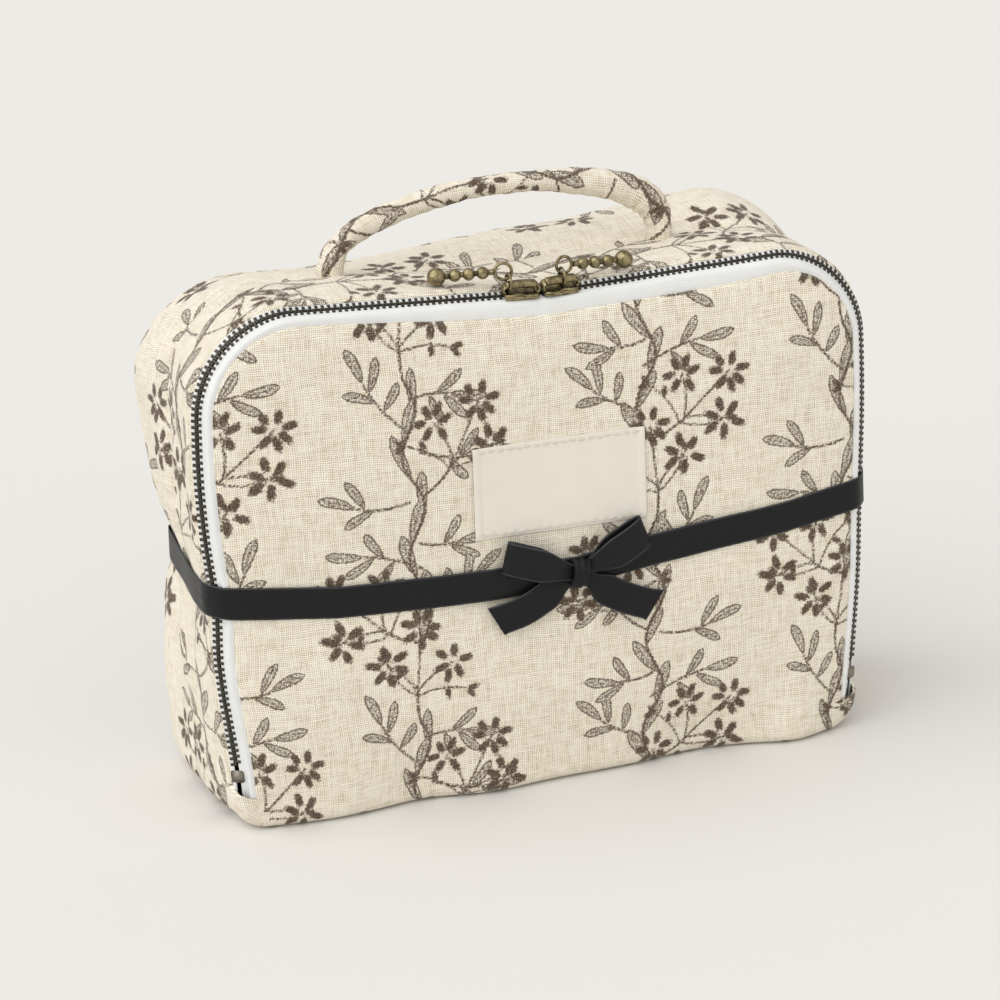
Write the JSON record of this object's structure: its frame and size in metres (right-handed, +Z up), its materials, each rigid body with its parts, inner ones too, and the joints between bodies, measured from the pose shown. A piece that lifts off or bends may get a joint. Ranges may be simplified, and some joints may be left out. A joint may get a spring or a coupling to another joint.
{
  "type": "makeup bag",
  "caption": "Boxy padded makeup bag with a zip-around front that folds down, a soft carry handle, beaded zip pulls and a gift ribbon.",
  "frame": {"origin": "middle of the base, on the surface the bag stands on", "axes": "+X along the width to the bag's right as seen from the front, +Y to the back, +Z up; the front flap faces -Y"},
  "size_m": [0.2612, 0.0938, 0.2267],
  "materials": {
    "gauze": "cream double gauze, brown botanical print",
    "foam": "quilting foam, sealed inside",
    "lining": "plain woven cotton",
    "binding": "folded bias tape",
    "zip_tape": "white twill tape",
    "zip_metal": "gunmetal, satin",
    "label_satin": "cream satin",
    "label_thread": "cream sewing thread",
    "old_brass": "antiqued, worn bright on the high spots",
    "ribbon_satin": "charcoal satin"
  },
  "bodies": {
    "shell": {"back_panel": "gauze", "back_foam": "foam", "back_lining": "lining", "gusset_rear": "gauze", "gusset_front": "gauze", "gusset_foam": "foam", "gusset_lining": "lining", "base_panel": "gauze", "base_foam": "foam", "base_lining": "lining", "front_foot": "gauze", "front_foot_foam": "foam", "hinge_fold": "gauze", "back_binding": "binding", "pocket_panel": "lining", "pocket_hem": "binding", "zip_tape_rear": "zip_tape", "zip_teeth_rear": "zip_metal", "zip_stop_left": "zip_metal", "zip_stop_right": "zip_metal"},
    "flap": {"front_panel": "gauze", "front_foam": "foam", "front_lining": "lining", "front_binding": "binding", "zip_tape_front": "zip_tape", "zip_teeth_front": "zip_metal", "label": "label_satin", "label_stitches": "label_thread"},
    "handle": {"handle_cover": "gauze", "handle_cord": "foam", "handle_foot_left": "gauze", "handle_foot_right": "gauze"},
    "left_slider": {"slider_left": "old_brass", "slider_bail_left": "old_brass"},
    "right_slider": {"slider_right": "old_brass", "slider_bail_right": "old_brass"},
    "left_link": {"link_left": "old_brass"},
    "right_link": {"link_right": "old_brass"},
    "left_pull": {"pull_left": "old_brass"},
    "right_pull": {"pull_right": "old_brass"},
    "ribbon": {"ribbon_band": "ribbon_satin", "bow_knot": "ribbon_satin", "bow_loop_left": "ribbon_satin", "bow_loop_right": "ribbon_satin", "bow_tail_left": "ribbon_satin", "bow_tail_right": "ribbon_satin"}
  },
  "joints": [
    {"name": "flap_hinge", "type": "hinge", "parent": "shell", "child": "flap", "pos_m": [0, -0.0425, 0.013], "axis": [1, 0, 0], "range_deg": [0, 90]},
    {"name": "handle_tilt", "type": "hinge", "parent": "shell", "child": "handle", "pos_m": [0, 0, 0.19888], "axis": [1, 0, 0], "range_deg": [-75, 75], "stiffness_Nm_per_rad": 0.02},
    {"name": "left_slider_run", "type": "slide", "parent": "shell", "child": "left_slider", "axis": [-0.9991, 0, 0.0434], "range_m": [0, 0.075]},
    {"name": "right_slider_run", "type": "slide", "parent": "shell", "child": "right_slider", "axis": [0.9991, 0, 0.0434], "range_m": [0, 0.075]},
    {"name": "left_link_swing", "type": "hinge", "parent": "left_slider", "child": "left_link", "pos_m": [0.00009, -0.03987, 0.19407], "axis": [0.9991, 0, -0.0434], "range_deg": [0, 140]},
    {"name": "right_link_swing", "type": "hinge", "parent": "right_slider", "child": "right_link", "pos_m": [-0.00009, -0.03987, 0.19407], "axis": [0.9991, 0, 0.0434], "range_deg": [0, 140]},
    {"name": "left_pull_lift", "type": "hinge", "parent": "left_link", "child": "left_pull", "pos_m": [-0.01335, -0.03761, 0.19876], "axis": [0.3087, 0.9511, -0.0134], "range_deg": [0, 90]},
    {"name": "right_pull_lift", "type": "hinge", "parent": "right_link", "child": "right_pull", "pos_m": [0.00972, -0.03794, 0.1986], "axis": [0.0871, -0.9962, 0.0038], "range_deg": [0, 90]},
    {"name": "ribbon_lift_off", "type": "slide", "parent": "shell", "child": "ribbon", "axis": [0, 0, 1], "range_m": [0, 0.16]}
  ]
}
